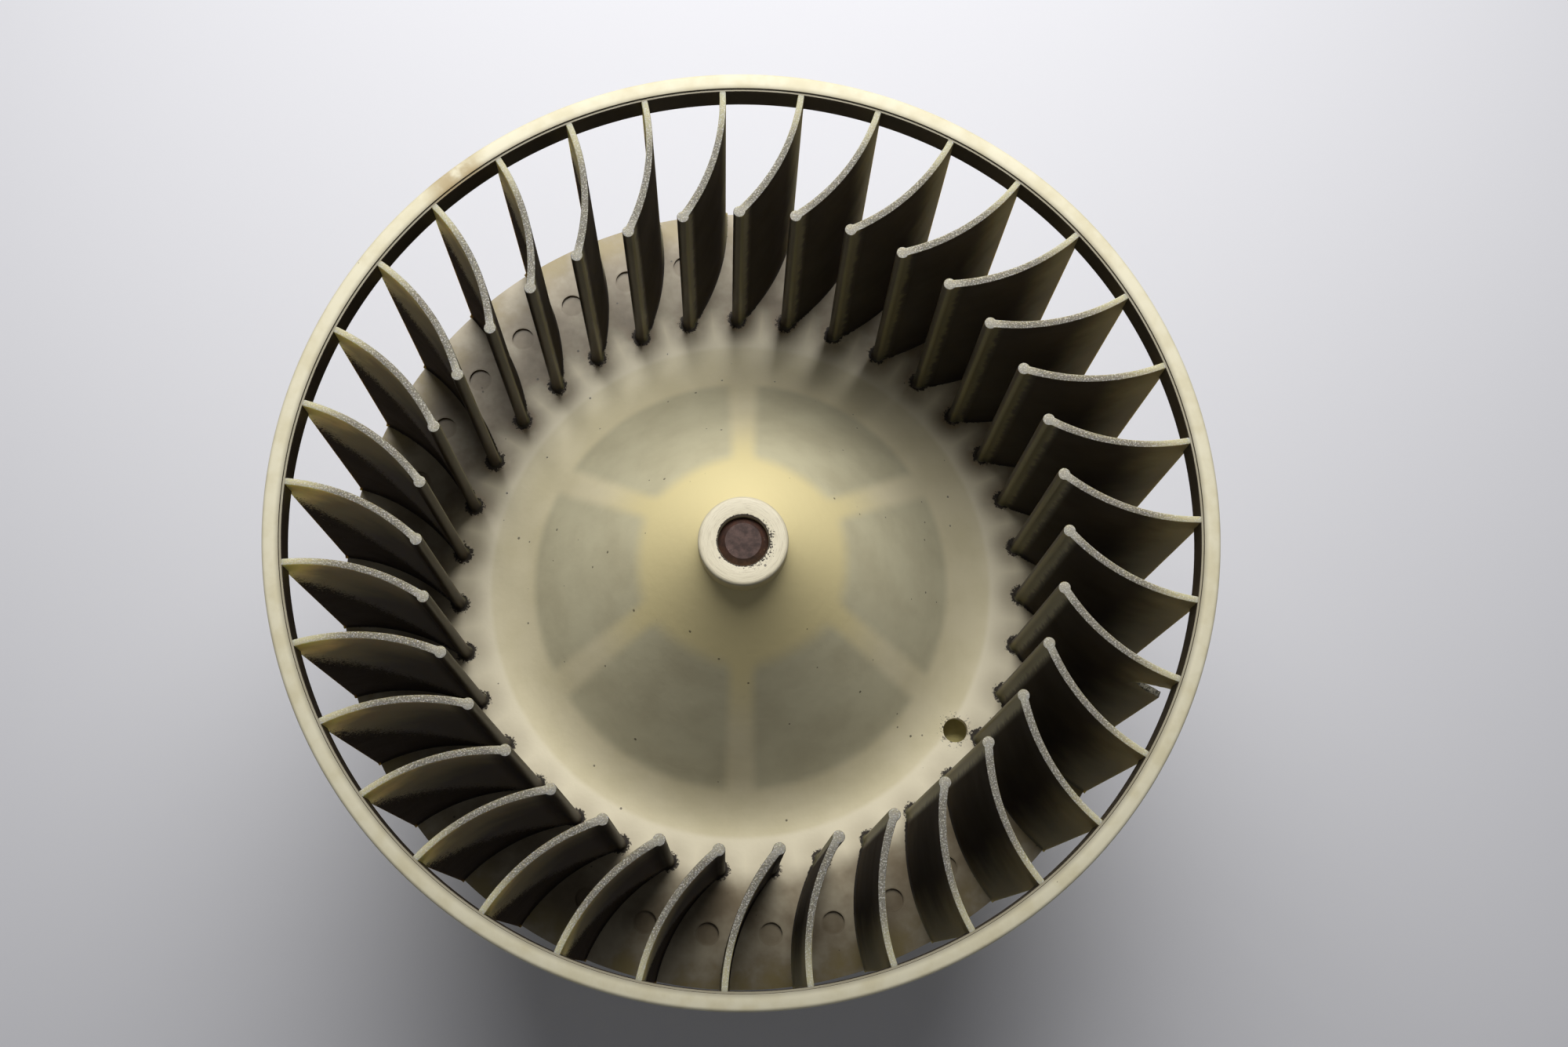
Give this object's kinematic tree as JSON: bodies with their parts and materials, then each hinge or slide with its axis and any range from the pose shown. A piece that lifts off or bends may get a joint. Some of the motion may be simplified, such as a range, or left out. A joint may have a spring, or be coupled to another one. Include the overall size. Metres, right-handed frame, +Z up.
{
  "type": "heater blower fan",
  "caption": "Centrifugal heater blower fan: a moulded wheel with curved blades between a back plate and a ring, pressed on the shaft of a small flanged motor.",
  "frame": {"origin": "on the shaft's axis, at the flat foot ring under the motor's end cap", "axes": "+Z up the shaft and out of the wheel's open side, +Y along one of the ribs under the wheel's dome"},
  "size_m": [0.145, 0.145, 0.1223],
  "materials": {
    "wheel_plastic": "cream glass-filled moulding, sooty blades",
    "shaft_steel": "ground steel, rusty at the end",
    "can_steel": "dull zinc plate",
    "flange_steel": "yellow passivated zinc plate",
    "cap_plastic": "black moulding",
    "bearing_bronze": "sintered, oily",
    "pad_plastic": "smooth",
    "magnet_ferrite": "ground ferrite",
    "core_iron": "stamped sheets, varnished",
    "winding_copper": "enamelled wire",
    "commutator_copper": "turned, with a brush track",
    "box_brass": "folded sheet",
    "brush_carbon": "pressed graphite",
    "spring_steel": "drawn wire",
    "terminal_tin": "tinned"
  },
  "bodies": {
    "motor": {"motor_can": "can_steel", "mounting_flange": "flange_steel", "end_cap": "cap_plastic", "front_bearing": "bearing_bronze", "rear_bearing": "bearing_bronze", "thrust_pad": "pad_plastic", "magnet_left": "magnet_ferrite", "magnet_right": "magnet_ferrite", "brush_box_left": "box_brass", "brush_box_right": "box_brass", "brush_left": "brush_carbon", "brush_right": "brush_carbon", "brush_spring_left": "spring_steel", "brush_spring_right": "spring_steel", "terminal_left": "terminal_tin", "terminal_right": "terminal_tin"},
    "rotor": {"blower_wheel": "wheel_plastic", "motor_shaft": "shaft_steel", "armature_core": "core_iron", "armature_winding": "winding_copper", "commutator": "commutator_copper"}
  },
  "joints": [
    {"name": "wheel_turn", "type": "hinge", "parent": "motor", "child": "rotor", "pos_m": [0, 0, 0.0655], "axis": [0, 0, 1], "continuous": true}
  ]
}
